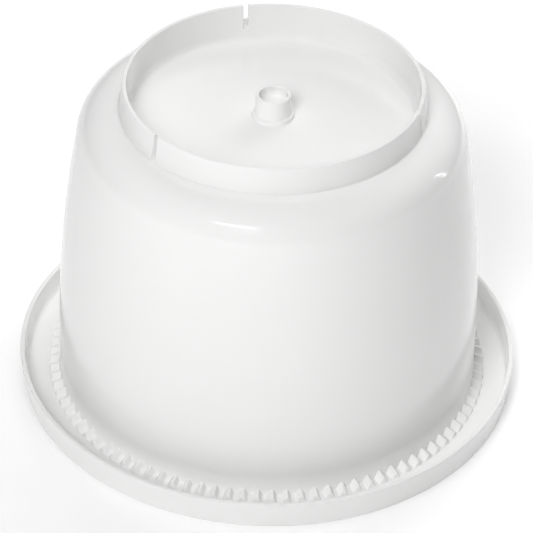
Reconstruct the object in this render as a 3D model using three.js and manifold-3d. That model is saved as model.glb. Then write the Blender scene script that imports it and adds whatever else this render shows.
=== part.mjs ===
// Net-lined mould for a round Gouda-type cheese, drawn as it stands when it is turned over:
// mouth down, rim on the table, foot ring up. Millimetres, +Z up, origin on the table in the
// mould's axis. The vat carries a drainage net with its hoops, and a follower (pressing lid) with
// a net of its own. The vat lifts off the net, and the follower slides up inside it.
import * as THREE from 'three';
import { mergeVertices } from 'three/addons/utils/BufferGeometryUtils.js';
import Module from 'manifold-3d';

const wasm = await Module();
wasm.setup();

// Driving dimensions
const RIM_RADIUS = 150;            // largest radius, at the top of the lip
const RIM_FOOT_RADIUS = 148.4;     // the lip leans out a little from here
const LIP_HEIGHT = 17.5;
const LIP_INNER_RADIUS = 147.2;
const LIP_ROUND = 0.8;
const MOUTH_RADIUS = 123;
const FLANGE = 3.2;                // thickness of the flange between the mouth and the lip
const WALL = 3.2;
const CREASE_HEIGHT = 17;          // where the wall meets the collar above the flange
const WALL_RADIUS = 126.1;         // outside, at the crease
const COLLAR_RADIUS = 127.2;       // outside, where the collar meets the flange
const SHOULDER_RADIUS = 112.2;     // outside, where the wall turns into the shoulder
const SHOULDER_HEIGHT = 169.5;
const SHOULDER_CORNER = [109.4, 184.8];  // where the wall's and the shoulder's tangents cross
const RING_FOOT = [88, 187.6];     // outside of the foot ring, on the shoulder
const RING_TOP_RADIUS = 85.7;
const HEIGHT = 203;
const RING_WALL = 2.2;
const RING_ROUND = 0.6;
const BASE_TOP = 180.8;            // recessed base disc inside the foot ring
const BASE = 3.3;                  // thickness of that disc
const BASE_FILLET = 3.8;
const UNDERSIDE_RADIUS = 80;       // flat underside of the base disc
const UNDERSIDE_ROUND = 4.5;       // rounding from there up into the foot ring's hollow
const HOLLOW_EDGE = 1.2;           // the hollow's top stops this far inside the foot ring
const HOLLOW_SKIN = 3.6;           // thickness over the hollow's top
const LIP_FOOT_ROUND = 2.2;        // fillet between the flange and the lip
const LIP_LEAN = 0.6;              // the lip's inside leans in this much towards the flange
const RING_LEAN = 0.3;             // the same for the inside of the foot ring
const HUB_HEIGHT = 195;
const HUB_RADIUS = 9.9;            // at its top; it widens a little towards its foot
const HUB_SHANK_RADIUS = 10.7;
const HUB_FOOT_RADIUS = 12.1;      // a low step round the spigot's foot
const HUB_STEP = 2.3;
const HUB_STEP_ROUND = 1.1;
const HUB_BORE_RADIUS = 8.2;       // shallow cup in the spigot's top
const HUB_FLOOR = 188.2;           // floor of that cup
const HUB_WEB = 2.4;               // thickness of the floor, which the drain hole goes through
const HUB_WELL_RADIUS = 8;         // the hollow under that floor, open to the mould's inside
const DRAIN_RADIUS = 1.8;

const TOOTH_COUNT = 98;            // small gussets round the foot of the collar
const TOOTH_PHASE = -1;            // degrees from the front
const TOOTH_END_RADIUS = 132.4;
const TOOTH_TOP = 8.9;             // ridge height where a gusset meets the collar
const TOOTH_RISE = 4.3;            // ridge above the valleys beside it
const TOOTH_LEFT = 4;              // reach of the long slope, left of the ridge's right edge
const TOOTH_CREST = 1.3;           // width of the ridge's flat top
const TOOTH_RIGHT = 3.9;           // width of the right side: a steep face and then a low step
const TOOTH_STEEP = 1.7;           // width of the steep face
const TOOTH_STEP = 0.9;            // height of the low step above the valley
const TOOTH_FALL = 0.32;           // drop of the ridge per millimetre outwards
const TOOTH_SKIRT = 1.4;           // straight part below the valley, let into the flange

const SLOT_ANGLES = [72.1, 192.1, 312.1];   // degrees from the front, rightwards
const SLOT_WIDTH = 3;
const SLOT_FLOOR = 187.2;          // just below the foot ring's foot

const RIB_COUNT = 24;              // upright ribs that hold the net off the wall
const RIB_DEPTH = 1.5;
const RIB_WIDTH = 2;
const RIB_START = 14;              // height of its lower end
const RIB_END = 0.97;              // share of the wall's curve that it covers
const BASE_RIB_COUNT = 12;
const BASE_RIB_DEPTH = 1.2;
const BASE_RIB_START = 15.1;       // radius, just outside the spigot
const BASE_RIB_END = 78;
const ROOT = 1;                    // how far an added piece is let into what carries it

const CLEARANCE = 0.4;             // between pieces that lie against each other
const NET_CLEARANCE = 0.8;         // between the ribs and the net, along the wall's curve
const NET = 1;                     // thickness of a drainage net
const HOOP_INNER_RADIUS = 119.4;
const HOOP_HEIGHT = 10;
const CORNER_START = 160;          // where the corner hoop takes over from the side net
const CORNER_RADIUS = 86.5;        // where it meets the base net
const CORNER_WALL = 1.5;
const CORNER_LEAN = 2.5;           // how far its bend's corner lies inside the side net

const FOLLOWER_RADIUS = 115.2;
const FOLLOWER_TOP = 18;
const FOLLOWER_PLATE = 4;
const FOLLOWER_SKIRT = 3.5;
const FOLLOWER_RIB_COUNT = 12;
const FOLLOWER_RIB_WIDTH = 3;
const FOLLOWER_RIB_FOOT = 2.5;     // the ribs stop this far above the skirt's edge
const BOSS_RADIUS = 24;
const BOSS_SOCKET_RADIUS = 17;
const BOSS_FLOOR = 11;
const DRAIN_HOLE_RADIUS = 1.9;
const DRAIN_HOLE_CIRCLE = 72;
const CLIP_RADIUS = 117.2;         // the follower net's clip ring
const CLIP_START = 5;
const CLIP_LIP_RADIUS = 110;
const CLIP_LIP = 1.4;              // thickness of the lip that holds the follower's net
const CLIP_CHAMFER = 0.8;

const VAT_SIDES = 66;
const INNER_SIDES = 48;
const HUB_SIDES = 24;

// Geometry helpers

const radians = THREE.MathUtils.degToRad;

function toSolid(geometry) {
  const bare = geometry.clone();
  bare.deleteAttribute('normal');
  bare.deleteAttribute('uv');
  const merged = mergeVertices(bare, 1e-4);
  return new wasm.Manifold(new wasm.Mesh({
    numProp: 3,
    vertProperties: new Float32Array(merged.attributes.position.array),
    triVerts: new Uint32Array(merged.index.array),
  }));
}

function toGeometry(solid) {
  const mesh = solid.getMesh();
  const geometry = new THREE.BufferGeometry();
  geometry.setAttribute('position', new THREE.BufferAttribute(mesh.vertProperties, 3));
  geometry.setIndex(new THREE.BufferAttribute(mesh.triVerts, 1));
  geometry.computeVertexNormals();
  return geometry;
}

// A closed outline in the (radius, height) plane, turned about the Z axis.
function turned(outline, sides, curveSteps = 4) {
  const points = outline.getPoints(curveSteps);
  return new THREE.LatheGeometry(points, sides).rotateX(Math.PI / 2);
}

function outlineThrough(points) {
  const outline = new THREE.Path();
  outline.moveTo(...points[0]);
  for (const point of points.slice(1)) {
    outline.lineTo(...point);
  }
  return outline;
}

function ring(points, sides) {
  return turned(outlineThrough([...points, points[0]]), sides);
}

// A slab drawn in the (radius, height) plane, set upright in the plane that faces the front.
function radialSlab(outline, thickness) {
  const slab = new THREE.ExtrudeGeometry(new THREE.Shape(outline.getPoints(4)), {
    depth: thickness,
    bevelEnabled: false,
  });
  slab.translate(0, 0, -thickness / 2);
  slab.rotateX(Math.PI / 2);
  return slab.rotateZ(-Math.PI / 2);
}

function upright(geometry, x, y, z) {
  return geometry.rotateX(Math.PI / 2).translate(x, y, z);
}

// Copies of one piece round the Z axis, the first at the given angle from the front.
function roundTheAxis(geometry, count, firstAngle = 0) {
  const copies = [];
  for (let i = 0; i < count; i += 1) {
    copies.push(toSolid(geometry.clone().rotateZ(radians(firstAngle + (360 * i) / count))));
  }
  return copies.reduce((joined, copy) => joined.add(copy));
}

// The vat: wall, shoulder and base

// The wall's curve, moved inwards by a depth. It narrows slowly above the mouth and faster towards
// the shoulder, as half of a parabola does.
function wallCurve(depth) {
  const halfway = (CREASE_HEIGHT + SHOULDER_HEIGHT) / 2;
  return new THREE.QuadraticBezierCurve(
    new THREE.Vector2(WALL_RADIUS - depth, CREASE_HEIGHT),
    new THREE.Vector2(WALL_RADIUS - depth, halfway),
    new THREE.Vector2(SHOULDER_RADIUS - depth, SHOULDER_HEIGHT),
  );
}

function wallRadiusAt(height, depth) {
  const rise = (height - CREASE_HEIGHT) / (SHOULDER_HEIGHT - CREASE_HEIGHT);
  return WALL_RADIUS - depth - (WALL_RADIUS - SHOULDER_RADIUS) * rise * rise;
}

function vatOutline() {
  const outside = wallCurve(0);
  const inside = wallCurve(WALL);
  const ringInner = RING_TOP_RADIUS - RING_WALL;
  const underside = BASE_TOP - BASE;
  const outline = new THREE.Path();
  outline.moveTo(0, underside);
  outline.lineTo(UNDERSIDE_RADIUS, underside);
  outline.lineTo(UNDERSIDE_RADIUS + UNDERSIDE_ROUND, underside + 1);
  outline.lineTo(RING_FOOT[0] - HOLLOW_EDGE, RING_FOOT[1] - HOLLOW_SKIN);
  outline.quadraticCurveTo(
    SHOULDER_CORNER[0] - WALL,
    SHOULDER_CORNER[1] - WALL,
    inside.v2.x,
    inside.v2.y,
  );
  outline.quadraticCurveTo(inside.v1.x, inside.v1.y, inside.v0.x, inside.v0.y);
  outline.lineTo(MOUTH_RADIUS, 0);
  outline.lineTo(RIM_FOOT_RADIUS, 0);
  outline.lineTo(RIM_RADIUS, LIP_HEIGHT - LIP_ROUND);
  outline.lineTo(RIM_RADIUS - LIP_ROUND, LIP_HEIGHT);
  outline.lineTo(LIP_INNER_RADIUS + LIP_ROUND, LIP_HEIGHT);
  outline.lineTo(LIP_INNER_RADIUS, LIP_HEIGHT - LIP_ROUND);
  outline.lineTo(LIP_INNER_RADIUS - LIP_LEAN, FLANGE + LIP_FOOT_ROUND);
  outline.lineTo(LIP_INNER_RADIUS - LIP_LEAN - LIP_FOOT_ROUND, FLANGE);
  outline.lineTo(COLLAR_RADIUS, FLANGE);
  outline.lineTo(WALL_RADIUS, CREASE_HEIGHT);
  outline.quadraticCurveTo(outside.v1.x, outside.v1.y, outside.v2.x, outside.v2.y);
  outline.quadraticCurveTo(...SHOULDER_CORNER, ...RING_FOOT);
  outline.lineTo(RING_TOP_RADIUS, HEIGHT - RING_ROUND);
  outline.lineTo(RING_TOP_RADIUS - RING_ROUND, HEIGHT);
  outline.lineTo(ringInner + RING_ROUND, HEIGHT);
  outline.lineTo(ringInner, HEIGHT - RING_ROUND);
  outline.lineTo(ringInner - RING_LEAN, BASE_TOP + BASE_FILLET);
  outline.lineTo(ringInner - RING_LEAN - BASE_FILLET, BASE_TOP);
  outline.lineTo(0, BASE_TOP);
  return outline;
}

// One gusset: a small roof with a flat ridge, highest at the collar, that falls outwards to its
// gable end. Its left slope is long, and its right side drops steeply to a low step.
function gusset() {
  const rootRadius = WALL_RADIUS - WALL / 2;
  const section = new THREE.Shape([
    new THREE.Vector2(-TOOTH_LEFT, -TOOTH_SKIRT),
    new THREE.Vector2(TOOTH_RIGHT, -TOOTH_SKIRT),
    new THREE.Vector2(TOOTH_RIGHT, 0),
    new THREE.Vector2(TOOTH_STEEP, TOOTH_STEP),
    new THREE.Vector2(0, TOOTH_RISE),
    new THREE.Vector2(-TOOTH_CREST, TOOTH_RISE),
    new THREE.Vector2(-TOOTH_LEFT, 0),
  ]);
  const roof = new THREE.ExtrudeGeometry(section, {
    depth: TOOTH_END_RADIUS - rootRadius,
    bevelEnabled: false,
  });
  roof.rotateX(Math.PI / 2);
  roof.applyMatrix4(new THREE.Matrix4().makeShear(0, 0, 0, TOOTH_FALL, 0, 0));
  const valley = TOOTH_TOP - TOOTH_RISE + TOOTH_FALL * (WALL_RADIUS - rootRadius);
  return roof.translate(0, -rootRadius, valley);
}

// One upright rib on the inside of the wall.
function wallRib() {
  const crest = wallCurve(WALL + RIB_DEPTH);
  const root = wallCurve(WALL / 2);
  const steps = 3;
  const points = [];
  for (let i = 0; i <= steps; i += 1) {
    points.push(crest.getPoint((RIB_END * i) / steps));
  }
  points.push(root.getPoint(RIB_END), root.getPoint(RIB_END / 2), root.getPoint(0));
  points[0].y = RIB_START;
  points[points.length - 1].y = RIB_START;
  return radialSlab(new THREE.Path(points), RIB_WIDTH);
}

function baseRib() {
  const underside = BASE_TOP - BASE;
  const outline = outlineThrough([
    [BASE_RIB_START, underside - BASE_RIB_DEPTH],
    [BASE_RIB_END, underside - BASE_RIB_DEPTH],
    [BASE_RIB_END, underside + ROOT],
    [BASE_RIB_START, underside + ROOT],
  ]);
  return radialSlab(outline, RIB_WIDTH);
}

function footRingSlot() {
  const reach = 14;
  const tall = 30;
  const cutter = new THREE.BoxGeometry(SLOT_WIDTH, reach, tall);
  return cutter.translate(0, -RING_FOOT[0], SLOT_FLOOR + tall / 2);
}

// The drain spigot in the middle of the base, with a low rounded step round its foot.
function hub() {
  const step = BASE_TOP + HUB_STEP;
  return turned(outlineThrough([
    [0, BASE_TOP - ROOT],
    [HUB_FOOT_RADIUS, BASE_TOP - ROOT],
    [HUB_FOOT_RADIUS, step - HUB_STEP_ROUND],
    [HUB_FOOT_RADIUS - HUB_STEP_ROUND, step],
    [HUB_SHANK_RADIUS, step + HUB_STEP_ROUND / 2],
    [HUB_RADIUS, HUB_HEIGHT],
    [0, HUB_HEIGHT],
  ]), HUB_SIDES);
}

// What is cut out of the spigot: the cup from above, the well from below and the hole between.
function spigotHollow() {
  const above = HUB_HEIGHT + ROOT;
  const below = BASE_TOP - BASE - ROOT - BASE_RIB_DEPTH;
  return turned(outlineThrough([
    [0, below],
    [HUB_WELL_RADIUS, below],
    [HUB_WELL_RADIUS, HUB_FLOOR - HUB_WEB],
    [DRAIN_RADIUS, HUB_FLOOR - HUB_WEB],
    [DRAIN_RADIUS, HUB_FLOOR],
    [HUB_BORE_RADIUS, HUB_FLOOR],
    [HUB_BORE_RADIUS, above],
    [0, above],
  ]), HUB_SIDES);
}

function vat() {
  let body = toSolid(turned(vatOutline(), VAT_SIDES));
  body = body.add(roundTheAxis(gusset(), TOOTH_COUNT, TOOTH_PHASE));
  body = body.add(roundTheAxis(wallRib(), RIB_COUNT));
  body = body.add(roundTheAxis(baseRib(), BASE_RIB_COUNT));
  body = body.add(toSolid(hub()));
  body = body.subtract(toSolid(spigotHollow()));
  for (const angle of SLOT_ANGLES) {
    body = body.subtract(toSolid(footRingSlot().rotateZ(radians(angle))));
  }
  return toGeometry(body);
}

// The net and its hoops

const netDepth = WALL + RIB_DEPTH + NET_CLEARANCE;   // from the wall's outside to the net's

function rimHoop() {
  return ring([
    [HOOP_INNER_RADIUS, 0],
    [MOUTH_RADIUS - NET_CLEARANCE, 0],
    [MOUTH_RADIUS - NET_CLEARANCE, HOOP_HEIGHT],
    [HOOP_INNER_RADIUS, HOOP_HEIGHT],
  ], INNER_SIDES);
}

function sideNet() {
  const steps = 3;
  const outside = [];
  const inside = [];
  for (let i = 0; i <= steps; i += 1) {
    const start = HOOP_HEIGHT + CLEARANCE;
    const height = start + ((CORNER_START - start) * i) / steps;
    const radius = wallRadiusAt(Math.max(height, CREASE_HEIGHT), netDepth);
    outside.push([radius, height]);
    inside.unshift([radius - NET, height]);
  }
  return ring([...outside, ...inside], INNER_SIDES);
}

const baseNetTop = BASE_TOP - BASE - BASE_RIB_DEPTH - CLEARANCE;

function cornerHoop() {
  const start = CORNER_START + CLEARANCE;
  const outer = wallRadiusAt(start, netDepth);
  const outline = new THREE.Path();
  outline.moveTo(outer, start);
  outline.quadraticCurveTo(outer - CORNER_LEAN, baseNetTop, CORNER_RADIUS, baseNetTop);
  outline.lineTo(CORNER_RADIUS, baseNetTop - CORNER_WALL);
  outline.quadraticCurveTo(
    outer - CORNER_LEAN - CORNER_WALL,
    baseNetTop - CORNER_WALL,
    outer - CORNER_WALL,
    start,
  );
  outline.lineTo(outer, start);
  return turned(outline, INNER_SIDES);
}

function baseNet() {
  const edge = CORNER_RADIUS - CLEARANCE;
  return turned(outlineThrough([
    [0, baseNetTop - NET],
    [edge, baseNetTop - NET],
    [edge, baseNetTop],
    [0, baseNetTop],
  ]), INNER_SIDES);
}

// The follower, its net and its clip ring

function follower() {
  const plateUnder = FOLLOWER_TOP - FOLLOWER_PLATE;
  const skirtInner = FOLLOWER_RADIUS - FOLLOWER_SKIRT;
  const dish = turned(outlineThrough([
    [0, BOSS_FLOOR],
    [BOSS_SOCKET_RADIUS, BOSS_FLOOR],
    [BOSS_SOCKET_RADIUS, 0],
    [BOSS_RADIUS, 0],
    [BOSS_RADIUS, plateUnder],
    [skirtInner, plateUnder],
    [skirtInner, 0],
    [FOLLOWER_RADIUS, 0],
    [FOLLOWER_RADIUS, FOLLOWER_TOP],
    [0, FOLLOWER_TOP],
  ]), INNER_SIDES);
  const rib = radialSlab(outlineThrough([
    [BOSS_RADIUS - ROOT, FOLLOWER_RIB_FOOT],
    [skirtInner + ROOT, FOLLOWER_RIB_FOOT],
    [skirtInner + ROOT, plateUnder + ROOT],
    [BOSS_RADIUS - ROOT, plateUnder + ROOT],
  ]), FOLLOWER_RIB_WIDTH);
  const through = 3 * FOLLOWER_PLATE;
  const hole = new THREE.CylinderGeometry(DRAIN_HOLE_RADIUS, DRAIN_HOLE_RADIUS, through, 8);
  const holes = upright(hole, 0, -DRAIN_HOLE_CIRCLE, FOLLOWER_TOP);
  const halfStep = 180 / FOLLOWER_RIB_COUNT;
  let body = toSolid(dish).add(roundTheAxis(rib, FOLLOWER_RIB_COUNT));
  body = body.subtract(roundTheAxis(holes, FOLLOWER_RIB_COUNT, halfStep));
  return toGeometry(body);
}

const followerNetFoot = FOLLOWER_TOP + CLEARANCE;
const clipFoot = followerNetFoot + NET + CLEARANCE;
const clipTop = clipFoot + CLIP_LIP;

function followerNet() {
  const edge = FOLLOWER_RADIUS - CLEARANCE;
  return turned(outlineThrough([
    [0, followerNetFoot],
    [edge, followerNetFoot],
    [edge, followerNetFoot + NET],
    [0, followerNetFoot + NET],
  ]), INNER_SIDES);
}

function clipRing() {
  return ring([
    [FOLLOWER_RADIUS + CLEARANCE, CLIP_START],
    [CLIP_RADIUS, CLIP_START],
    [CLIP_RADIUS, clipTop - CLIP_CHAMFER],
    [CLIP_RADIUS - CLIP_CHAMFER, clipTop],
    [CLIP_LIP_RADIUS, clipTop],
    [CLIP_LIP_RADIUS, clipFoot],
    [FOLLOWER_RADIUS + CLEARANCE, clipFoot],
  ], INNER_SIDES);
}

// Materials and assembly

function plastic(color, roughness) {
  return new THREE.MeshStandardMaterial({ color, roughness, metalness: 0 });
}

const group = new THREE.Group();

function place(name, geometry, material) {
  const mesh = new THREE.Mesh(geometry, material);
  mesh.name = name;
  group.add(mesh);
}

place('vat', vat(), plastic(0xf3f3f1, 0.22));
place('net_rim_hoop', rimHoop(), plastic(0xe9ebea, 0.35));
place('net_side', sideNet(), plastic(0xe4e8e6, 0.6));
place('net_corner_hoop', cornerHoop(), plastic(0xe9ebea, 0.35));
place('net_base', baseNet(), plastic(0xe4e8e6, 0.6));
place('follower', follower(), plastic(0xf0f0ee, 0.28));
place('follower_net', followerNet(), plastic(0xe4e8e6, 0.6));
place('follower_clip_ring', clipRing(), plastic(0xe9ebea, 0.35));

export default group;
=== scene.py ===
"""Net-lined cheese mould, turned over on its rim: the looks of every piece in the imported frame."""
import math

import bmesh
import bpy
from mathutils import Matrix, Vector


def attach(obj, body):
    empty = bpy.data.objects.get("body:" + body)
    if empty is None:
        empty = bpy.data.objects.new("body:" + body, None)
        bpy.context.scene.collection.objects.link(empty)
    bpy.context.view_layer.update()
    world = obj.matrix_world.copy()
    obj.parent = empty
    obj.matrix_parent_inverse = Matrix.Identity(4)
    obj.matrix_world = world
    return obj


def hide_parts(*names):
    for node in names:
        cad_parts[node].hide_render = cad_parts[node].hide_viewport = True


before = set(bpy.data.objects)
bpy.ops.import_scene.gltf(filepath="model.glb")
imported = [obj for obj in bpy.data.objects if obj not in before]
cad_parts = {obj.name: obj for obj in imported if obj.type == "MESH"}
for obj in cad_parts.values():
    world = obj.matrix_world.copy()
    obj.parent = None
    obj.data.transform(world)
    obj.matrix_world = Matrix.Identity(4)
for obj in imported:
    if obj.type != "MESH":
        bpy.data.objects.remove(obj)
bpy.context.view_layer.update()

MM = 0.001
TURN = 2 * math.pi

# Driving sizes in millimetres, the same as the CAD model's.
RIM_RADIUS = 150
RIM_FOOT_RADIUS = 148.4
LIP_HEIGHT = 17.5
LIP_INNER_RADIUS = 147.2
LIP_ROUND = 0.8
MOUTH_RADIUS = 123
FLANGE = 3.2
WALL = 3.2
CREASE_HEIGHT = 17
WALL_RADIUS = 126.1
COLLAR_RADIUS = 127.2
SHOULDER_RADIUS = 112.2
SHOULDER_HEIGHT = 169.5
SHOULDER_CORNER = (109.4, 184.8)
RING_FOOT = (88, 187.6)
RING_TOP_RADIUS = 85.7
HEIGHT = 203
RING_WALL = 2.2
RING_ROUND = 0.6
BASE_TOP = 180.8
BASE = 3.3
BASE_UNDERSIDE = BASE_TOP - BASE
BASE_FILLET = 3.8
HUB_HEIGHT = 195
HUB_RADIUS = 9.9
HUB_SHANK_RADIUS = 10.7
HUB_FOOT_RADIUS = 12.1
HUB_STEP = 2.3
HUB_STEP_ROUND = 1.1
HUB_BORE_RADIUS = 8.2
HUB_FLOOR = 188.2
HUB_WEB = 2.4
HUB_WELL_RADIUS = 8
DRAIN_RADIUS = 1.8

TOOTH_COUNT = 98
TOOTH_PHASE = -1
TOOTH_END_RADIUS = 132.4
TOOTH_TOP = 8.9
TOOTH_RISE = 4.3
TOOTH_LEFT = 4
TOOTH_CREST = 1.3
TOOTH_RIGHT = 3.9
TOOTH_STEEP = 1.7
TOOTH_STEP = 0.9
TOOTH_FALL = 0.32

SLOT_ANGLES = (72.1, 192.1, 312.1)
SLOT_HALF_WIDTH = 1.5
SLOT_FLOOR = 187.2

RIB_COUNT = 24
RIB_DEPTH = 1.5
RIB_START = 14
BASE_RIB_COUNT = 12
BASE_RIB_DEPTH = 1.2

CLEARANCE = 0.4
NET_CLEARANCE = 0.8
NET = 1
NET_DEPTH = WALL + RIB_DEPTH + NET_CLEARANCE
BASE_NET_TOP = BASE_UNDERSIDE - BASE_RIB_DEPTH - CLEARANCE
HOOP_INNER_RADIUS = 119.4
HOOP_HEIGHT = 10
CORNER_START = 160
CORNER_RADIUS = 86.5
CORNER_WALL = 1.5

FOLLOWER_RADIUS = 115.2
FOLLOWER_TOP = 18
FOLLOWER_PLATE = 4
FOLLOWER_UNDER = FOLLOWER_TOP - FOLLOWER_PLATE
FOLLOWER_SKIRT = 3.5
FOLLOWER_SKIRT_RADIUS = FOLLOWER_RADIUS - FOLLOWER_SKIRT
FOLLOWER_RIB_COUNT = 12
FOLLOWER_RIB_FOOT = 2.5
BOSS_RADIUS = 24
BOSS_SOCKET_RADIUS = 17
BOSS_FLOOR = 11
DRAIN_HOLE_RADIUS = 1.9
DRAIN_HOLE_CIRCLE = 72
CLIP_RADIUS = 117.2
CLIP_START = 5
CLIP_LIP_RADIUS = 110
FOLLOWER_NET_FOOT = FOLLOWER_TOP + CLEARANCE
CLIP_FOOT = FOLLOWER_NET_FOOT + NET + CLEARANCE
CLIP_LIP = 1.4
CLIP_TOP = CLIP_FOOT + CLIP_LIP

# ---------------------------------------------------------------- camera

CAMERA_PLACE = (0.0, -1.17726, 0.96782)
CAMERA_AIM = (-0.0015, 0.0, 0.07215)
CAMERA_ROLL = 1.47
CAMERA_LENS = 167.43
CAMERA_SENSOR = 36
CAMERA_CLIP_END = 20


def look_at(obj, target, roll=0.0):
    """Turn a camera or a light towards a point."""
    direction = Vector(target) - obj.location
    turn = direction.to_track_quat("-Z", "Y").to_matrix().to_4x4()
    spin = Matrix.Rotation(math.radians(roll), 4, "Z")
    obj.rotation_euler = (turn @ spin).to_euler()


def make_camera():
    data = bpy.data.cameras.new("camera")
    data.lens = CAMERA_LENS
    data.sensor_width = CAMERA_SENSOR
    data.clip_end = CAMERA_CLIP_END
    camera = bpy.data.objects.new("camera", data)
    bpy.context.collection.objects.link(camera)
    camera.location = CAMERA_PLACE
    look_at(camera, CAMERA_AIM, CAMERA_ROLL)
    bpy.context.scene.camera = camera


# ---------------------------------------------------------------- outlines of (radius, height)

LONGEST_STEP = 14
SUPPORT = 0.5
ARC_STEPS = 4
FINE_ARC_STEPS = 6


def line(a, b):
    """Points between a and b, with one close to each end to keep a flat side's shading flat."""
    a, b = Vector(a), Vector(b)
    length = (b - a).length
    if length < 4 * SUPPORT:
        return []
    near = SUPPORT / length
    steps = max(1, math.ceil(length / LONGEST_STEP))
    shares = [near, *(k / steps for k in range(1, steps)), 1 - near]
    return [a.lerp(b, share) for share in shares]


def curve(a, corner, b, steps):
    """A quadratic curve from a to b whose end tangents cross at corner."""
    a, corner, b = Vector(a), Vector(corner), Vector(b)
    shares = [k / steps for k in range(steps + 1)]
    return [a.lerp(corner, share).lerp(corner.lerp(b, share), share) for share in shares]


def arc(before, corner, after, radius, steps):
    """The arc that rounds a corner between two straight sides."""
    corner = Vector(corner)
    back = (Vector(before) - corner).normalized()
    ahead = (Vector(after) - corner).normalized()
    half = back.angle(ahead) / 2
    centre = corner + (back + ahead).normalized() * (radius / math.sin(half))
    start = corner + back * (radius / math.tan(half)) - centre
    end = corner + ahead * (radius / math.tan(half)) - centre
    sweep = start.angle(end)
    points = []
    for k in range(steps + 1):
        turned = k / steps * sweep
        spoke = (start * math.sin(sweep - turned) + end * math.sin(turned)) / math.sin(sweep)
        points.append(centre + spoke)
    return points


def path(*corners, steps=ARC_STEPS):
    """A line through (radius, height, rounding) corners; the two ends stay as they are."""
    points = [Vector(corners[0][:2])]
    for before, corner, after in zip(corners, corners[1:], corners[2:]):
        bend = arc(before[:2], corner[:2], after[:2], corner[2], steps)
        points += line(points[-1], bend[0]) + bend
    end = Vector(corners[-1][:2])
    return points + line(points[-1], end) + [end]


def closed_path(*corners):
    """A closed outline through (radius, height, rounding) corners."""
    points = []
    for i, corner in enumerate(corners):
        before, after = corners[i - 1], corners[(i + 1) % len(corners)]
        bend = arc(before[:2], corner[:2], after[:2], corner[2], ARC_STEPS)
        if points:
            points += line(points[-1], bend[0])
        points += bend
    return points + line(points[-1], points[0])


# ---------------------------------------------------------------- surfaces, laid ring by ring

SHARP_ANGLE = 38
THIN_SHARP_ANGLE = 50
SAME_OFFSET = 0.01
SAME_ANGLE = 1e-6


def even_columns(count):
    """Columns evenly round the axis.

    A column is a spoke's angle and a sideways distance from that spoke, so it can run beside a rib.
    """
    return [(TURN * c / count, 0.0) for c in range(count)]


def in_order(columns):
    """Columns in the order of their angles, and beside one spoke in that of their offsets."""
    tilt = 1e-3
    return sorted(columns, key=lambda column: (column[0] + column[1] * tilt) % TURN)


def columns_beside(spokes, offsets, count, clear):
    """Even columns, but within some degrees of a spoke only those at the given offsets from it."""
    columns = [(spoke, offset) for spoke in spokes for offset in offsets]
    for angle, offset in even_columns(count):
        gap = min(abs((angle - spoke + math.pi) % TURN - math.pi) for spoke in spokes)
        if gap > math.radians(clear):
            columns.append((angle, offset))
    return in_order(columns)


def spokes_round(count, first=0.0):
    """Evenly spaced angles, the first one given in degrees."""
    return [math.radians(first) + TURN * k / count for k in range(count)]


def is_rib(column, count):
    """Whether a column belongs to a rib's spoke rather than to the even ones."""
    step = TURN / count
    away = (column[0] + step / 2) % step - step / 2
    return abs(away) < SAME_ANGLE


def place_at(radius, angle, height):
    """A point at an angle from the front (-Y), positive to the right, in metres."""
    return (radius * math.sin(angle) * MM, -radius * math.cos(angle) * MM, height * MM)


class Skin:
    """A surface made of rings of vertices; rings whose columns differ are zipped together."""

    def __init__(self):
        self.bm = bmesh.new()
        self.rings = []

    def zone(self, columns, section):
        """Add the rings of a zone; section(column) gives the points along one column."""
        runs = [section(column) for column in columns]
        for row in range(len(runs[0])):
            ring = []
            for (spoke, offset), run in zip(columns, runs):
                radius, height = run[row]
                angle = (spoke + math.asin(offset / radius)) % TURN
                ring.append((angle, self.bm.verts.new(place_at(radius, angle, height))))
            self.rings.append(ring)

    def plain(self, count, points):
        self.zone(even_columns(count), lambda column: points)

    def pole(self, height):
        self.rings.append([(0.0, self.bm.verts.new(place_at(0, 0, height)))])

    def face(self, *verts):
        self.bm.faces.new([vert for _, vert in verts])

    def join(self, a, b):
        if len(a) == len(b):
            for c in range(len(a)):
                self.face(a[c - 1], a[c], b[c], b[c - 1])
        elif len(a) == 1 or len(b) == 1:
            ring, tip = (a, b[0]) if len(b) == 1 else (b, a[0])
            for c in range(len(ring)):
                self.face(ring[c - 1], ring[c], tip)
        else:
            self.zip(a, b)

    def zip(self, a, b):
        """Triangles between two rings: the one that lags in angle steps on."""
        i = j = 0
        while i < len(a) or j < len(b):
            next_a = a[i + 1][0] if i + 1 < len(a) else a[0][0] + TURN
            next_b = b[j + 1][0] if j + 1 < len(b) else b[0][0] + TURN
            if j >= len(b) or (i < len(a) and next_a <= next_b):
                self.face(a[i], a[(i + 1) % len(a)], b[j % len(b)])
                i += 1
            else:
                self.face(b[j], a[i % len(a)], b[(j + 1) % len(b)])
                j += 1

    def finish(self, name, closed=True, sharp=SHARP_ANGLE):
        pairs = list(zip(self.rings, self.rings[1:]))
        if closed:
            pairs.append((self.rings[-1], self.rings[0]))
        for a, b in pairs:
            self.join(a, b)
        bmesh.ops.recalc_face_normals(self.bm, faces=self.bm.faces)
        mesh = bpy.data.meshes.new(name)
        self.bm.to_mesh(mesh)
        self.bm.free()
        mesh.polygons.foreach_set("use_smooth", [True] * len(mesh.polygons))
        mesh.set_sharp_from_angle(angle=math.radians(sharp))
        obj = bpy.data.objects.new(name, mesh)
        bpy.context.collection.objects.link(obj)
        return obj


# ---------------------------------------------------------------- the vat's outside

WALL_COLUMNS = 396
RING_COLUMNS = 360
HUB_COLUMNS = 96
WALL_STEPS = 26
SHOULDER_STEPS = 28
# The foot ring's outline takes over from the shoulder's this many points before its end.
SHOULDER_LEAD = 5


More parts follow.
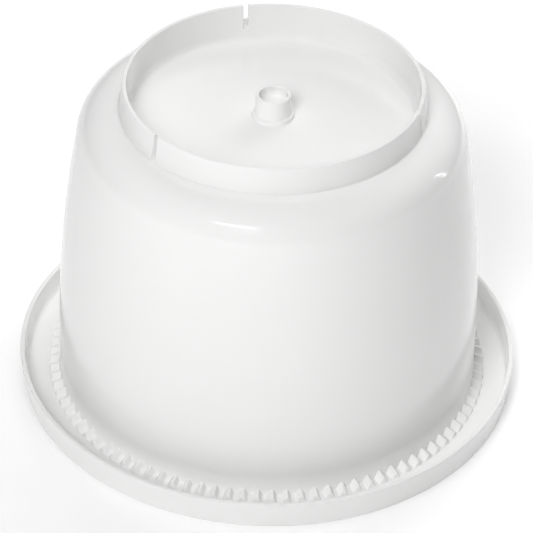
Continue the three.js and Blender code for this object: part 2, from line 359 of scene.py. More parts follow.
def wall_radius(height, depth):
    """The wall's radius, moved inwards by a depth; it narrows upwards as a parabola does."""
    rise = (height - CREASE_HEIGHT) / (SHOULDER_HEIGHT - CREASE_HEIGHT)
    return WALL_RADIUS - depth - (WALL_RADIUS - SHOULDER_RADIUS) * rise * rise


def wall_points():
    rise = SHOULDER_HEIGHT - CREASE_HEIGHT
    heights = [CREASE_HEIGHT + rise * k / WALL_STEPS for k in range(WALL_STEPS + 1)]
    return [Vector((wall_radius(height, 0), height)) for height in heights]


def shoulder_points():
    wall_top = (SHOULDER_RADIUS, SHOULDER_HEIGHT)
    return curve(wall_top, SHOULDER_CORNER, RING_FOOT, SHOULDER_STEPS)


def collar_radius(height):
    """The outside of the collar, which leans out a little towards the flange."""
    share = (CREASE_HEIGHT - height) / (CREASE_HEIGHT - FLANGE)
    return WALL_RADIUS + (COLLAR_RADIUS - WALL_RADIUS) * share


# Sideways places across a gusset, from its left valley, over its flat ridge, to its right valley.
TOOTH_OFFSETS = (
    -TOOTH_LEFT, -3.2, -2, -1.45, -TOOTH_CREST, -1.15, -0.15,
    0, 0.12, 0.5, 1.2, TOOTH_STEEP, 2.6, TOOTH_RIGHT,
)
RIDGE_ROUND = 0.06
# Where a gusset's column has its points: on the flange in front of the gable, at the gable's top
# edge, along the roof, and up the collar.
FLANGE_REACHES = (2.2, 0.8, 0.35)
GABLE_REACH = 0.04
GABLE_SHARE = 0.93
ROOF_SHARES = (0.03, 0.3, 0.65, 0.93)
COLLAR_SHARES = (0, 0.05, 0.35, 0.7, 0.96)


def tooth_profile(offset):
    """A gusset's height above its valleys: long left slope, flat ridge, steep face, low step."""
    if offset > TOOTH_STEEP:
        return TOOTH_STEP * (TOOTH_RIGHT - offset) / (TOOTH_RIGHT - TOOTH_STEEP)
    left = TOOTH_RISE * (offset + TOOTH_LEFT) / (TOOTH_LEFT - TOOTH_CREST)
    right = TOOTH_RISE - (TOOTH_RISE - TOOTH_STEP) * offset / TOOTH_STEEP
    blunt = RIDGE_ROUND if offset in (-TOOTH_CREST, 0) else 0
    return max(0.0, min(left, right, TOOTH_RISE) - blunt)


def tooth_height(radius, offset):
    """The top of a gusset, which falls outwards and never goes below the flange."""
    valley = TOOTH_TOP - TOOTH_RISE - TOOTH_FALL * (radius - WALL_RADIUS)
    return max(FLANGE, valley + tooth_profile(offset))


def tooth_columns():
    ridges = spokes_round(TOOTH_COUNT, TOOTH_PHASE)
    return in_order([(ridge, offset) for ridge in ridges for offset in TOOTH_OFFSETS])


def tooth_section(column):
    """One column from the flange, over a gusset's gable and roof, and up the collar's side."""
    offset = column[1]
    foot = tooth_height(COLLAR_RADIUS, offset)
    root = collar_radius(foot)
    gable = tooth_height(TOOTH_END_RADIUS, offset) - FLANGE
    run = [Vector((TOOTH_END_RADIUS + reach, FLANGE)) for reach in FLANGE_REACHES]
    run.append(Vector((TOOTH_END_RADIUS + GABLE_REACH, FLANGE + GABLE_SHARE * gable)))
    for share in ROOF_SHARES:
        radius = TOOTH_END_RADIUS + (root - TOOTH_END_RADIUS) * share
        run.append(Vector((radius, tooth_height(radius, offset))))
    for share in COLLAR_SHARES:
        height = foot + (CREASE_HEIGHT - foot) * share
        run.append(Vector((collar_radius(height), height)))
    return run


MOUTH_CHAMFER = 1
MOUTH_ROUND = 0.5
RIM_FOOT_ROUND = 0.4
LIP_DRAFT = 0.5
LIP_FILLET = 2.2
FLANGE_EDGE = 4


def rim_points():
    """From the mouth, under the flange, round the lip, and back over the flange."""
    return path(
        (WALL_RADIUS - WALL, RIB_START - MOUTH_CHAMFER),
        (MOUTH_RADIUS, 0, MOUTH_ROUND),
        (RIM_FOOT_RADIUS, 0, RIM_FOOT_ROUND),
        (RIM_RADIUS, LIP_HEIGHT, LIP_ROUND),
        (LIP_INNER_RADIUS, LIP_HEIGHT, LIP_ROUND),
        (LIP_INNER_RADIUS - LIP_DRAFT, FLANGE, LIP_FILLET),
        (TOOTH_END_RADIUS + FLANGE_EDGE, FLANGE),
        steps=FINE_ARC_STEPS,
    )


RING_FOOT_ROUND = 0.7
RING_DRAFT = 0.3
# On the base disc the ring's columns end at the first radius and the spigot's start at the other.
DISC_RADII = (70, 40)
SLOT_CLEAR = 2.1
SLOT_OFFSETS = (
    -SLOT_HALF_WIDTH - 1, -SLOT_HALF_WIDTH - 0.04, -SLOT_HALF_WIDTH, -0.5,
    0.5, SLOT_HALF_WIDTH, SLOT_HALF_WIDTH + 0.04, SLOT_HALF_WIDTH + 1,
)


def ring_points():
    """From the shoulder, over the foot ring, and down its fillet to the base disc."""
    inner = RING_TOP_RADIUS - RING_WALL
    return path(
        shoulder_points()[-SHOULDER_LEAD],
        (*RING_FOOT, RING_FOOT_ROUND),
        (RING_TOP_RADIUS, HEIGHT, RING_ROUND),
        (inner, HEIGHT, RING_ROUND),
        (inner - RING_DRAFT, BASE_TOP, BASE_FILLET),
        (DISC_RADII[0], BASE_TOP),
        steps=FINE_ARC_STEPS,
    )


def slotted_ring_section():
    """The foot ring, cut down to the slots' floor in the columns between a slot's walls."""
    points = ring_points()

    def section(column):
        if not column[1] or abs(column[1]) > SLOT_HALF_WIDTH + SAME_OFFSET:
            return points
        return [Vector((point.x, min(point.y, SLOT_FLOOR))) for point in points]

    return section


HUB_FOOT_ROUND = 0.35
HUB_SHANK_RISE = 0.2
HUB_SHANK_ROUND = 0.4
HUB_LIP_ROUND = 0.45
HUB_FLOOR_ROUND = 0.6
DRAIN_ROUND = 0.3
HUB_WELL_ROUND = 0.5


def hub_points():
    """From the base disc, over the stepped spigot, through its drain hole, to the underside."""
    step = BASE_TOP + HUB_STEP
    web = HUB_FLOOR - HUB_WEB
    return path(
        (DISC_RADII[1], BASE_TOP),
        (HUB_FOOT_RADIUS, BASE_TOP, HUB_FOOT_ROUND),
        (HUB_FOOT_RADIUS, step, HUB_STEP_ROUND),
        (HUB_SHANK_RADIUS, step + HUB_SHANK_RISE, HUB_SHANK_ROUND),
        (HUB_RADIUS, HUB_HEIGHT, HUB_LIP_ROUND),
        (HUB_BORE_RADIUS, HUB_HEIGHT, HUB_LIP_ROUND),
        (HUB_BORE_RADIUS, HUB_FLOOR, HUB_FLOOR_ROUND),
        (DRAIN_RADIUS, HUB_FLOOR, DRAIN_ROUND),
        (DRAIN_RADIUS, web, DRAIN_ROUND),
        (HUB_WELL_RADIUS, web, HUB_FLOOR_ROUND),
        (HUB_WELL_RADIUS, BASE_UNDERSIDE, HUB_WELL_ROUND),
        (HUB_FOOT_RADIUS, BASE_UNDERSIDE),
    )


# ---------------------------------------------------------------- the vat's inside

BASE_COLUMNS = 60
BASE_RIB_CLEAR = 5
INNER_COLUMNS = 240
INNER_SHOULDER_STEPS = 18
INNER_WALL_STEPS = 18
RIB_CLEAR = 1
RIB_HALF = 1
RIB_EDGE = 0.35
RIB_EDGE_DROP = 0.6
RIB_OFFSETS = (-1.6, -1.02, -1, -0.8, -0.5, 0, 0.5, 0.8, 1, 1.02, 1.6)
# Where the upright ribs end, as a share of the wall's height, and the length of their tapers.
RIB_END_SHARE = 0.96
RIB_TAPER = 1
# Radii along a base rib, with its share of its full depth at each.
BASE_RIB_REACH = (
    (HUB_FOOT_RADIUS + 2.6, 0), (HUB_FOOT_RADIUS + 3, 1), (46, 1), (77.6, 1), (78, 0), (78.5, 0),
)


def rib_share(column, count):
    """How far a rib stands out along a column, from 0 beside it to 1 on its middle."""
    away = abs(column[1])
    if not is_rib(column, count) or away > RIB_HALF + SAME_OFFSET:
        return 0.0
    rest = max(0.0, away - (RIB_HALF - RIB_EDGE)) / RIB_EDGE
    return math.sqrt(1 - min(1.0, rest) ** 2 * RIB_EDGE_DROP)


def base_rib_section(column):
    """The underside of the base, with a shallow rib under each spoke."""
    depth = BASE_RIB_DEPTH * rib_share(column, BASE_RIB_COUNT)
    return [Vector((radius, BASE_UNDERSIDE - depth * full)) for radius, full in BASE_RIB_REACH]


# The hollow under the foot ring: where it starts, the radii where it turns up, turns outwards and
# ends, the rounding of its corners, and its height.
MOAT_START = 79
MOAT_RADII = (82.8, 85.8, 87.8)
MOAT_ROUND = 1.2
MOAT_TOP = RING_FOOT[1] - WALL - 0.4
# The inner shoulder starts at this radius, at the hollow's height.
INNER_SHOULDER_RADIUS = 88.2


def moat_points():
    """Inside, from the underside of the base round the foot ring's hollow to the inner wall."""
    rise, turn, end = MOAT_RADII
    hollow = path(
        (MOAT_START, BASE_UNDERSIDE),
        (rise, BASE_UNDERSIDE, MOAT_ROUND),
        (turn, MOAT_TOP, MOAT_ROUND),
        (end, MOAT_TOP),
    )
    start = (INNER_SHOULDER_RADIUS, MOAT_TOP)
    corner = (SHOULDER_CORNER[0] - WALL, SHOULDER_CORNER[1] - WALL)
    inner_wall = (SHOULDER_RADIUS - WALL, SHOULDER_HEIGHT)
    return hollow + curve(start, corner, inner_wall, INNER_SHOULDER_STEPS)[1:]


def inner_wall_section(column):
    """The inside of the wall, with an upright rib along each spoke."""
    depth = RIB_DEPTH * rib_share(column, RIB_COUNT)
    end = CREASE_HEIGHT + (SHOULDER_HEIGHT - CREASE_HEIGHT) * RIB_END_SHARE
    above = (SHOULDER_HEIGHT - RIB_TAPER, end + RIB_TAPER)
    run = [Vector((wall_radius(height, WALL), height)) for height in above]
    for k in range(INNER_WALL_STEPS + 1):
        height = end + (RIB_START + RIB_TAPER - end) * k / INNER_WALL_STEPS
        radius = wall_radius(max(height, CREASE_HEIGHT), WALL)
        run.append(Vector((radius - depth, height)))
    run.append(Vector((wall_radius(CREASE_HEIGHT, WALL), RIB_START)))
    return run


def make_vat():
    slots = [math.radians(angle) for angle in SLOT_ANGLES]
    ribs = columns_beside(spokes_round(RIB_COUNT), RIB_OFFSETS, INNER_COLUMNS, RIB_CLEAR)
    base_spokes = spokes_round(BASE_RIB_COUNT)
    base_ribs = columns_beside(base_spokes, RIB_OFFSETS, BASE_COLUMNS, BASE_RIB_CLEAR)
    ring = columns_beside(slots, SLOT_OFFSETS, RING_COLUMNS, SLOT_CLEAR)
    skin = Skin()
    skin.plain(WALL_COLUMNS, rim_points())
    skin.zone(tooth_columns(), tooth_section)
    skin.plain(WALL_COLUMNS, wall_points() + shoulder_points()[1:-SHOULDER_LEAD - 1])
    skin.zone(ring, slotted_ring_section())
    skin.plain(HUB_COLUMNS, hub_points())
    skin.zone(base_ribs, base_rib_section)
    skin.plain(INNER_COLUMNS, moat_points())
    skin.zone(ribs, inner_wall_section)
    return skin.finish("vat_body")


# ---------------------------------------------------------------- the net and its hoops

HOOP_COLUMNS = 240
HOOP_ROUND = 0.5
# The groove round the inside of the rim hoop: its depth, rounding and four heights, from the top.
GROOVE_DEPTH = 0.5
GROOVE_ROUND = 0.15
GROOVE_HEIGHTS = (7.8, 7.4, 6.2, 5.8)
SEAM_ANGLE = 7.5
SEAM_OFFSETS = (-4.2, -3.8, -3.4, 0, 3.4, 3.8, 4.2)
SEAM_HALF_WIDTH = 3.8
SEAM_RISE = 0.3
SEAM_CLEAR = 2.3
HEM = 6
HEM_RISE = 0.2
HEM_ROWS = 3
NET_STEPS = 16
NET_EDGE = 0.25
CORNER_LEAN = 2.5
CORNER_STEPS = 24


def lathe(name, points, sharp=SHARP_ANGLE):
    """A closed outline, turned round the axis."""
    skin = Skin()
    skin.plain(HOOP_COLUMNS, points)
    return skin.finish(name, sharp=sharp)


def make_rim_hoop():
    """The hoop at the net's mouth, with a groove round the inside where the net is welded in."""
    outer = MOUTH_RADIUS - NET_CLEARANCE
    inner = HOOP_INNER_RADIUS
    groove = inner + GROOVE_DEPTH
    radii = (inner, groove, groove, inner)
    return lathe("rim_hoop", closed_path(
        (inner, 0, HOOP_ROUND),
        (outer, 0, HOOP_ROUND),
        (outer, HOOP_HEIGHT, HOOP_ROUND),
        (inner, HOOP_HEIGHT, HOOP_ROUND),
        *((radius, height, GROOVE_ROUND) for radius, height in zip(radii, GROOVE_HEIGHTS)),
    ))


def side_net_section(column):
    """The side net's two faces, thicker at its welded hems and along its one upright seam."""
    on_spoke = abs(column[0] - math.radians(SEAM_ANGLE)) < SAME_ANGLE
    seam = on_spoke and abs(column[1]) < SEAM_HALF_WIDTH
    start = HOOP_HEIGHT + CLEARANCE
    low, high = start + HEM + NET_EDGE, CORNER_START - HEM - NET_EDGE
    heights = [start, start + NET_EDGE, start + HEM]
    heights += [low + (high - low) * k / NET_STEPS for k in range(NET_STEPS + 1)]
    heights += [CORNER_START - HEM, CORNER_START - NET_EDGE, CORNER_START]
    outside, inside = [], []
    for k, height in enumerate(heights):
        hem = k < HEM_ROWS or k >= len(heights) - HEM_ROWS
        edge = NET_EDGE if k in (0, len(heights) - 1) else 0
        radius = wall_radius(max(height, CREASE_HEIGHT), NET_DEPTH)
        rise = max(HEM_RISE if hem else 0, SEAM_RISE if seam else 0)
        outside.append(Vector((radius + rise - edge, height)))
        inside.insert(0, Vector((radius - NET + edge, height)))
    return outside + inside


def make_side_net():
    seam = [math.radians(SEAM_ANGLE)]
    skin = Skin()
    skin.zone(columns_beside(seam, SEAM_OFFSETS, HOOP_COLUMNS, SEAM_CLEAR), side_net_section)
    return skin.finish("side_net", sharp=THIN_SHARP_ANGLE)


def make_corner_hoop():
    """The moulded bend between the side net and the base net, with bevelled edges."""
    start = CORNER_START + CLEARANCE
    outer = wall_radius(start, NET_DEPTH)
    inner = outer - CORNER_WALL
    top, under = BASE_NET_TOP, BASE_NET_TOP - CORNER_WALL
    end = CORNER_RADIUS
    outside = curve((outer, start), (outer - CORNER_LEAN, top), (end, top), CORNER_STEPS)
    inside = curve((end, under), (inner - CORNER_LEAN, under), (inner, start), CORNER_STEPS)
    edge = Vector((0, NET_EDGE))
    side = Vector((NET_EDGE, 0))
    loop = [outside[0] - side, outside[0] + edge, *outside[1:-1]]
    loop += [outside[-1] + side, outside[-1] - edge]
    loop += [inside[0] + edge, inside[0] + side, *inside[1:-1]]
    loop += [inside[-1] + edge, inside[-1] + side]
    return lathe("corner_hoop", loop, sharp=THIN_SHARP_ANGLE)


PATCH_RADIUS = 14
PATCH_BEVEL = 0.8
PATCH_CLEAR = 6
PRESSED = 0.15
PRESSED_ROUND = 0.1
PRESSED_BEVEL = 0.4


def make_net_disc(name, radius, foot):
    """A round drainage net, with a pressed hem round its edge and a welded patch in its middle."""
    top = foot + NET
    patch_top = PATCH_RADIUS - PATCH_BEVEL
    middle = PATCH_RADIUS + PATCH_CLEAR
    hem = radius - HEM
    hem_top = hem + PRESSED_BEVEL
    skin = Skin()
    skin.pole(top)
    skin.plain(HUB_COLUMNS, [Vector((patch_top, top)), Vector((PATCH_RADIUS, top - PRESSED))])
    skin.plain(HOOP_COLUMNS, path(
        (middle, top - PRESSED),
        (hem, top - PRESSED, PRESSED_ROUND),
        (hem_top, top, PRESSED_ROUND),
        (radius, top, NET_EDGE),
        (radius, foot, NET_EDGE),
        (hem_top, foot, PRESSED_ROUND),
        (hem, foot + PRESSED, PRESSED_ROUND),
        (middle, foot + PRESSED),
    ))
    skin.plain(HUB_COLUMNS, [Vector((PATCH_RADIUS, foot + PRESSED)), Vector((patch_top, foot))])
    skin.pole(foot)
    return skin.finish(name, closed=False, sharp=THIN_SHARP_ANGLE)


# ---------------------------------------------------------------- the follower

FOLLOWER_COLUMNS = 168
FOLLOWER_RIB_CLEAR = 5
FOLLOWER_RIB_HALF = 1.5
FOLLOWER_RIB_ROUND = 0.4
FOLLOWER_RIB_OFFSETS = (-1.9, -1.54, -1.5, -1.38, -1.1, 0, 1.1, 1.38, 1.5, 1.54, 1.9)
FOLLOWER_UNDER_STEPS = 8
FOLLOWER_FILLET = 0.8
FOLLOWER_ROUND = 0.8
SKIRT_ROUND = 0.4
BOSS_ROUND = 0.5
SOCKET_FILLET = 0.8
SOCKET_MIDDLE = 6
# Heights on the boss and the skirt: where their rounded edges end, and two below the ribs' foot.
EDGE_END = 0.9
EDGE_HEIGHTS = (1.2, 2.2)
# Radii of the rings on the follower's flat top: the outermost, counted from its edge, and the rest.
TOP_INSET = 12
TOP_RADII = (84, 60, 36, 12)
DRILL_SIDES = 32


def follower_rib_foot(offset):
    """The lower edge of a follower's rib, which is rounded at both sides."""
    flat = FOLLOWER_RIB_HALF - FOLLOWER_RIB_ROUND
    corner = max(0.0, abs(offset) - flat) / FOLLOWER_RIB_ROUND
    rise = 1 - math.sqrt(max(0.0, 1 - corner * corner))
    return FOLLOWER_RIB_FOOT + FOLLOWER_RIB_ROUND * rise


def follower_under_section(column):
    """The underside between the boss and the skirt, with a deep rib along each spoke."""
    under, skirt = FOLLOWER_UNDER, FOLLOWER_SKIRT_RADIUS
    boss_foot, boss_top = (BOSS_RADIUS, 0), (BOSS_RADIUS, under)
    skirt_foot, skirt_top = (skirt, 0), (skirt, under)
    step = (skirt - BOSS_RADIUS) / FOLLOWER_UNDER_STEPS
    run = [Vector((BOSS_RADIUS, height)) for height in EDGE_HEIGHTS]
    run += arc(boss_foot, boss_top, skirt_top, FOLLOWER_FILLET, ARC_STEPS)
    run += [Vector((BOSS_RADIUS + step * k, under)) for k in range(1, FOLLOWER_UNDER_STEPS)]
    run += arc(boss_top, skirt_top, skirt_foot, FOLLOWER_FILLET, ARC_STEPS)
    run += [Vector((skirt, height)) for height in reversed(EDGE_HEIGHTS)]
    on_rib = abs(column[1]) < FOLLOWER_RIB_HALF + SAME_OFFSET
    if on_rib and is_rib(column, FOLLOWER_RIB_COUNT):
        foot = follower_rib_foot(column[1])
        run = [Vector((point.x, min(point.y, foot))) for point in run]
    return run


def drill_drain_holes(piece):
    """Cut a ring of upright round holes through the follower's plate, between its ribs."""
    cut = bmesh.new()
    for angle in spokes_round(FOLLOWER_RIB_COUNT, 180 / FOLLOWER_RIB_COUNT):
        bmesh.ops.create_cone(
            cut, cap_ends=True, segments=DRILL_SIDES,
            matrix=Matrix.Translation(place_at(DRAIN_HOLE_CIRCLE, angle, FOLLOWER_UNDER)),
            radius1=DRAIN_HOLE_RADIUS * MM, radius2=DRAIN_HOLE_RADIUS * MM,
            depth=4 * FOLLOWER_PLATE * MM,
        )
    mesh = bpy.data.meshes.new("drill")
    cut.to_mesh(mesh)
    cut.free()
    drills = bpy.data.objects.new("drill", mesh)
    bpy.context.collection.objects.link(drills)
    holes = piece.modifiers.new("holes", "BOOLEAN")
    holes.operation = "DIFFERENCE"
    holes.solver = "EXACT"
    holes.object = drills
    bpy.context.view_layer.update()
    drilled = piece.evaluated_get(bpy.context.evaluated_depsgraph_get())
    drilled_mesh = bpy.data.meshes.new_from_object(drilled)
    piece.modifiers.clear()
    piece.data = drilled_mesh
    drilled_mesh.set_sharp_from_angle(angle=math.radians(SHARP_ANGLE))
    bpy.data.objects.remove(drills)


def make_follower():
    """The pressing lid: a socketed boss, ribs and a skirt under a plate with drain holes."""
    skirt = FOLLOWER_SKIRT_RADIUS
    spokes = spokes_round(FOLLOWER_RIB_COUNT)
    ribs = columns_beside(spokes, FOLLOWER_RIB_OFFSETS, FOLLOWER_COLUMNS, FOLLOWER_RIB_CLEAR)
    skin = Skin()
    skin.pole(BOSS_FLOOR)
    skin.plain(HUB_COLUMNS, path(
        (SOCKET_MIDDLE, BOSS_FLOOR),
        (BOSS_SOCKET_RADIUS, BOSS_FLOOR, SOCKET_FILLET),
        (BOSS_SOCKET_RADIUS, 0, BOSS_ROUND),
        (BOSS_RADIUS, 0, BOSS_ROUND),
        (BOSS_RADIUS, EDGE_END),
    ))
    skin.zone(ribs, follower_under_section)
    skin.plain(HOOP_COLUMNS, path(
        (skirt, EDGE_END),
        (skirt, 0, SKIRT_ROUND),
        (FOLLOWER_RADIUS, 0, SKIRT_ROUND),
        (FOLLOWER_RADIUS, FOLLOWER_TOP, FOLLOWER_ROUND),
        (FOLLOWER_RADIUS - TOP_INSET, FOLLOWER_TOP),
    ))
    skin.plain(HUB_COLUMNS, [Vector((radius, FOLLOWER_TOP)) for radius in TOP_RADII])
    skin.pole(FOLLOWER_TOP)
    piece = skin.finish("follower_plate", closed=False)
    drill_drain_holes(piece)
    return piece


CLIP_EDGE_ROUND = 0.3
CLIP_ROUND = 0.8
CLIP_LIP_ROUND = 0.4
CLIP_CORNER_ROUND = 0.2


def make_clip_ring():
    """The ring that holds the follower's net: a band round the edge and a lip over the net."""
    inner = FOLLOWER_RADIUS + CLEARANCE
    return lathe("clip_ring", closed_path(
        (inner, CLIP_START, CLIP_EDGE_ROUND),
        (CLIP_RADIUS, CLIP_START, CLIP_EDGE_ROUND),
        (CLIP_RADIUS, CLIP_TOP, CLIP_ROUND),
        (CLIP_LIP_RADIUS, CLIP_TOP, CLIP_LIP_ROUND),
        (CLIP_LIP_RADIUS, CLIP_FOOT, CLIP_LIP_ROUND),
        (inner, CLIP_FOOT, CLIP_CORNER_ROUND),
    ))


# ---------------------------------------------------------------- materials

PLASTIC_IOR = 1.5
# The lowest and highest roughness of a plastic, as shares of its usual roughness.
GLOSS_SPREAD = (0.9, 1.15)
VAT_TONES = ((0.9, 0.9, 0.895), (0.915, 0.915, 0.91))
FOLLOWER_TONES = ((0.84, 0.84, 0.825), (0.86, 0.86, 0.845))
HOOP_TONES = ((0.77, 0.79, 0.785), (0.8, 0.825, 0.815))
# The net's two tones: painted shade for the openings between its threads, and the threads' own
# colour.
NET_THREAD_AND_PAINTED_GAP_SHADE_TONES = ((0.2, 0.21, 0.205), (0.8, 0.825, 0.815))


def new_material(name):
    material = bpy.data.materials.new(name)
    material.use_nodes = True
    return material, material.node_tree.nodes, material.node_tree.links


def noise(nodes, links, place, scale, detail):
    """Noise through the object's own coordinates."""
    texture = nodes.new("ShaderNodeTexNoise")
    texture.inputs["Scale"].default_value = scale
    texture.inputs["Detail"].default_value = detail
    links.new(place, texture.inputs["Vector"])
    return texture.outputs["Fac"]


def blend_range(nodes, links, value, low, high):
    """A value's middle range, stretched to run from low to high."""
    stretch = nodes.new("ShaderNodeMapRange")
    stretch.inputs["From Min"].default_value = 0.3
    stretch.inputs["From Max"].default_value = 0.7
    stretch.inputs["To Min"].default_value = low
    stretch.inputs["To Max"].default_value = high
    links.new(value, stretch.inputs["Value"])
    return stretch.outputs["Result"]


def two_tones(nodes, links, value, tones, start, end):
    """A colour that runs from the first tone to the second as the value goes from start to end."""
    ramp = nodes.new("ShaderNodeValToRGB")
    for stop, position, tone in zip(ramp.color_ramp.elements, (start, end), tones):
        stop.position = position
        stop.color = (*tone, 1)
    links.new(value, ramp.inputs["Fac"])
    return ramp.outputs["Color"]


def bump(nodes, links, height, strength, distance):
    """A surface roughened by a height, over a distance in metres."""
    relief = nodes.new("ShaderNodeBump")
    relief.inputs["Strength"].default_value = strength
    relief.inputs["Distance"].default_value = distance
    links.new(height, relief.inputs["Height"])
    return relief.outputs["Normal"]


def gloss_plastic(name, tones, roughness, ripple):
    """Moulded plastic: a faint drift of colour and gloss, and the ripple of a moulded skin."""
    material, nodes, links = new_material(name)
    shader = nodes["Principled BSDF"]
    shader.inputs["IOR"].default_value = PLASTIC_IOR
    place = nodes.new("ShaderNodeTexCoord").outputs["Object"]
    drift = noise(nodes, links, place, scale=9, detail=3)
    grain = noise(nodes, links, place, scale=45, detail=4)
    tint = two_tones(nodes, links, drift, tones, start=0.35, end=0.65)
    gloss = blend_range(nodes, links, grain, *(roughness * share for share in GLOSS_SPREAD))
    relief = bump(nodes, links, grain, strength=ripple, distance=0.0006)
    links.new(tint, shader.inputs["Base Color"])
    links.new(gloss, shader.inputs["Roughness"])
    links.new(relief, shader.inputs["Normal"])
    return material


NET_PITCH = 1.6
# How high a thread lies beside its crossings, as a share of the height that a crossing adds.
THREAD_HEIGHT = 0.6


def net_material(name, round_side):
    """A plain weave: threads both ways, high where they cross, with painted shade in the small
    openings between.
    """
    material, nodes, links = new_material(name)
    shader = nodes["Principled BSDF"]
    shader.inputs["IOR"].default_value = PLASTIC_IOR
    shader.inputs["Sheen Weight"].default_value = 0.15
    place = nodes.new("ShaderNodeTexCoord").outputs["Object"]
    split = nodes.new("ShaderNodeSeparateXYZ")
    links.new(place, split.inputs["Vector"])
    x, y, z = (split.outputs[axis] for axis in "XYZ")

    def step(operation, first, second=None):
        """One step of arithmetic; an input is a socket or a number."""
        node = nodes.new("ShaderNodeMath")
        node.operation = operation
        for socket, value in enumerate((first, second)):
            if isinstance(value, (int, float)):
                node.inputs[socket].default_value = value
            elif value is not None:
                links.new(value, node.inputs[socket])
        return node.outputs["Value"]

    across, along = x, y
    if round_side:
        across = step("MULTIPLY", step("ARCTAN2", x, y), WALL_RADIUS * MM)
        along = z
    threads = []
    for way in (across, along):
        wave = step("SINE", step("MULTIPLY", way, math.pi / (NET_PITCH * MM)))
        threads.append(step("ABSOLUTE", wave))
    crossing = step("MULTIPLY", *threads)
    thread = step("MAXIMUM", *threads)
    height = step("ADD", crossing, step("MULTIPLY", thread, THREAD_HEIGHT))
    fuzz = noise(nodes, links, place, scale=220, detail=3)
    # Painted shade: the colour darkens from each thread's middle to the openings between the
    # threads.
    tint = two_tones(nodes, links, thread, NET_THREAD_AND_PAINTED_GAP_SHADE_TONES, start=0.25, end=0.7)
    relief = bump(nodes, links, height, strength=0.7, distance=0.0003)
    links.new(tint, shader.inputs["Base Color"])
    links.new(blend_range(nodes, links, fuzz, low=0.45, high=0.6), shader.inputs["Roughness"])
    links.new(relief, shader.inputs["Normal"])
    return material


# ---------------------------------------------------------------- light and floor

LIGHT_DISTANCE = 1.7
LIGHT_AIM = Vector((0, 0, 0.1))
WORLD_STRENGTH = 0.05


def softbox(name, side, rise, power, size=(0.9, 0.9), glossy=False):
    """A softbox at an angle from the front (-Y, rightwards) and a height angle, in degrees."""
    data = bpy.data.lights.new(name, "AREA")
    data.shape = "RECTANGLE"
    data.size, data.size_y = size
    data.energy = power
    light = bpy.data.objects.new(name, data)
    bpy.context.collection.objects.link(light)
    side, rise = math.radians(side), math.radians(rise)
    flat = LIGHT_DISTANCE * math.cos(rise)
    away = Vector((flat * math.sin(side), -flat * math.cos(side), LIGHT_DISTANCE * math.sin(rise)))
    light.location = LIGHT_AIM + away
    look_at(light, LIGHT_AIM)
    light.visible_glossy = glossy


def light_studio():
    """Wide softboxes for the light, and two narrow ones that alone show as highlights."""
    softbox("key_light", -16, 41, power=13.2, size=(0.5, 0.8))
    softbox("key_strip_light", -23, 48, power=2, size=(0.55, 0.1), glossy=True)
    softbox("left_light", -40, 35, power=3)
    softbox("right_light", 146, 20, power=12)
    softbox("high_right_light", 120, 55, power=2)
    softbox("back_light", 180, 40, power=8)
    softbox("top_light", 0, 90, power=5.5)
    softbox("side_strip_light", 109, 17, power=0.9, size=(0.05, 0.6), glossy=True)
    world = bpy.data.worlds.new("studio")
    bpy.context.scene.world = world
    world.use_nodes = True
    background = world.node_tree.nodes["Background"]
    background.inputs["Color"].default_value = (1, 1, 1, 1)
    background.inputs["Strength"].default_value = WORLD_STRENGTH
    bpy.context.scene.view_settings.view_transform = "Standard"


STUDIO_RADIUS = 5000
BACKDROP_HEIGHT = 3000
STUDIO_COLUMNS = 128
# The paper's glow: a distance in metres and the strength there, near the object and far from it.
NEAR_GLOW = (0.5, 0.12)
FAR_GLOW = (2.5, 0.5)


def studio_paper():
    """White paper with a little light of its own, which grows with the distance from the object."""
    material, nodes, links = new_material("studio_paper")
    shader = nodes["Principled BSDF"]
    shader.inputs["Base Color"].default_value = (0.96, 0.96, 0.96, 1)
    shader.inputs["Roughness"].default_value = 0.9
    shader.inputs["Emission Color"].default_value = (1, 1, 1, 1)
    distance = nodes.new("ShaderNodeVectorMath")
    distance.operation = "LENGTH"
    links.new(nodes.new("ShaderNodeTexCoord").outputs["Object"], distance.inputs[0])
    glow = nodes.new("ShaderNodeMapRange")
    glow.inputs["From Min"].default_value, glow.inputs["To Min"].default_value = NEAR_GLOW
    glow.inputs["From Max"].default_value, glow.inputs["To Max"].default_value = FAR_GLOW
    links.new(distance.outputs["Value"], glow.inputs["Value"])
    links.new(glow.outputs["Result"], shader.inputs["Emission Strength"])
    return material


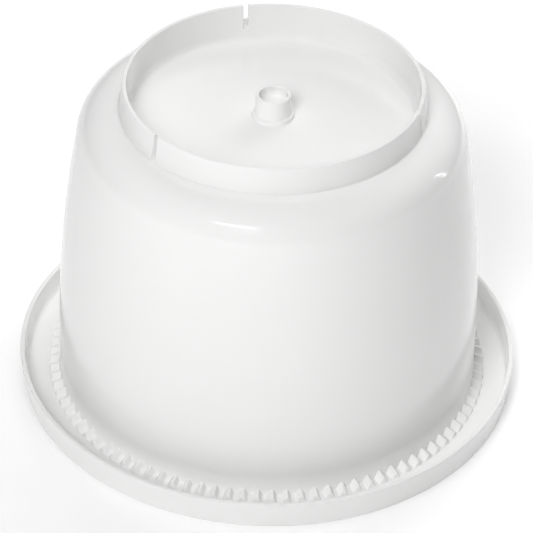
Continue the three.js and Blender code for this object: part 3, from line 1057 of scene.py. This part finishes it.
def make_studio():
    """The floor, and a pale wall round it that shows in low views and doesn't light the object."""
    paper = studio_paper()
    skin = Skin()
    skin.pole(0)
    skin.plain(STUDIO_COLUMNS, [Vector((STUDIO_RADIUS, 0))])
    floor = skin.finish("floor", closed=False)
    skin = Skin()
    heights = (0, BACKDROP_HEIGHT)
    skin.plain(STUDIO_COLUMNS, [Vector((STUDIO_RADIUS, height)) for height in heights])
    backdrop = skin.finish("backdrop", closed=False)
    backdrop.visible_diffuse = False
    backdrop.visible_glossy = False
    backdrop.visible_shadow = False
    for obj in (floor, backdrop):
        obj.data.materials.append(paper)


# ---------------------------------------------------------------- assembly

def add_piece(piece, material, body, slot, *nodes):
    """Give a piece its material, hide the CAD parts it stands in for, and attach it to the body it
    moves with; the finish slot is not used.
    """
    piece.data.materials.clear()
    piece.data.materials.append(material)
    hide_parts(*nodes)
    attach(piece, body)


make_camera()
light_studio()
make_studio()

vat_plastic = gloss_plastic("vat_plastic", VAT_TONES, roughness=0.11, ripple=0.06)
follower_plastic = gloss_plastic("follower_plastic", FOLLOWER_TONES, roughness=0.22, ripple=0.1)
hoop_plastic = gloss_plastic("hoop_plastic", HOOP_TONES, roughness=0.28, ripple=0.12)
side_weave = net_material("net_weave_round", round_side=True)
flat_weave = net_material("net_weave_flat", round_side=False)

add_piece(make_vat(), vat_plastic, "vat_shell", "vat_plastic", "vat")
add_piece(make_rim_hoop(), hoop_plastic, "net_insert", "hoop_plastic", "net_rim_hoop")
add_piece(make_side_net(), side_weave, "net_insert", "net", "net_side")
add_piece(make_corner_hoop(), hoop_plastic, "net_insert", "hoop_plastic", "net_corner_hoop")
base_net = make_net_disc("base_net", CORNER_RADIUS - CLEARANCE, BASE_NET_TOP - NET)
add_piece(base_net, flat_weave, "net_insert", "net", "net_base")
add_piece(make_follower(), follower_plastic, "press_follower", "follower_plastic", "follower")
pressing_net = make_net_disc("pressing_net", FOLLOWER_RADIUS - CLEARANCE, FOLLOWER_NET_FOOT)
add_piece(pressing_net, flat_weave, "press_follower", "net", "follower_net")
add_piece(make_clip_ring(), hoop_plastic, "press_follower", "hoop_plastic", "follower_clip_ring")
